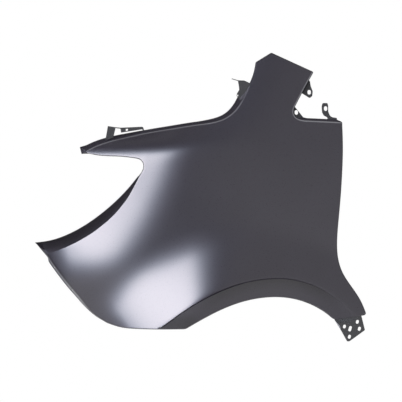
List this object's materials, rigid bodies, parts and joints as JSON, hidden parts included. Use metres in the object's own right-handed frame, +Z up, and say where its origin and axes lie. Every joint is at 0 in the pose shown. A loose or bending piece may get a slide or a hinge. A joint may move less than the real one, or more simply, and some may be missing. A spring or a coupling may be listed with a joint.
{
  "type": "car front fender",
  "caption": "Pressed steel front fender of a large van, left side, with folded edges, a headlight recess, a wheel arch and welded mounting brackets.",
  "frame": {"origin": "on the inboard face of the sill bracket, between its slots, where the bracket is bolted to the sill", "axes": "+X to the rear of the vehicle, +Y inboard, +Z up"},
  "size_m": [1.2096, 0.4068, 1.0481],
  "materials": {
    "skin_primer": "satin black dip primer",
    "bracket_primer": "satin black dip primer"
  },
  "bodies": {
    "root": {"fender_skin": "skin_primer", "sill_bracket": "bracket_primer", "rail_bracket": "bracket_primer", "cowl_bracket": "bracket_primer", "pillar_tab": "bracket_primer", "notch_gusset": "bracket_primer", "window_tab": "bracket_primer"}
  },
  "joints": []
}
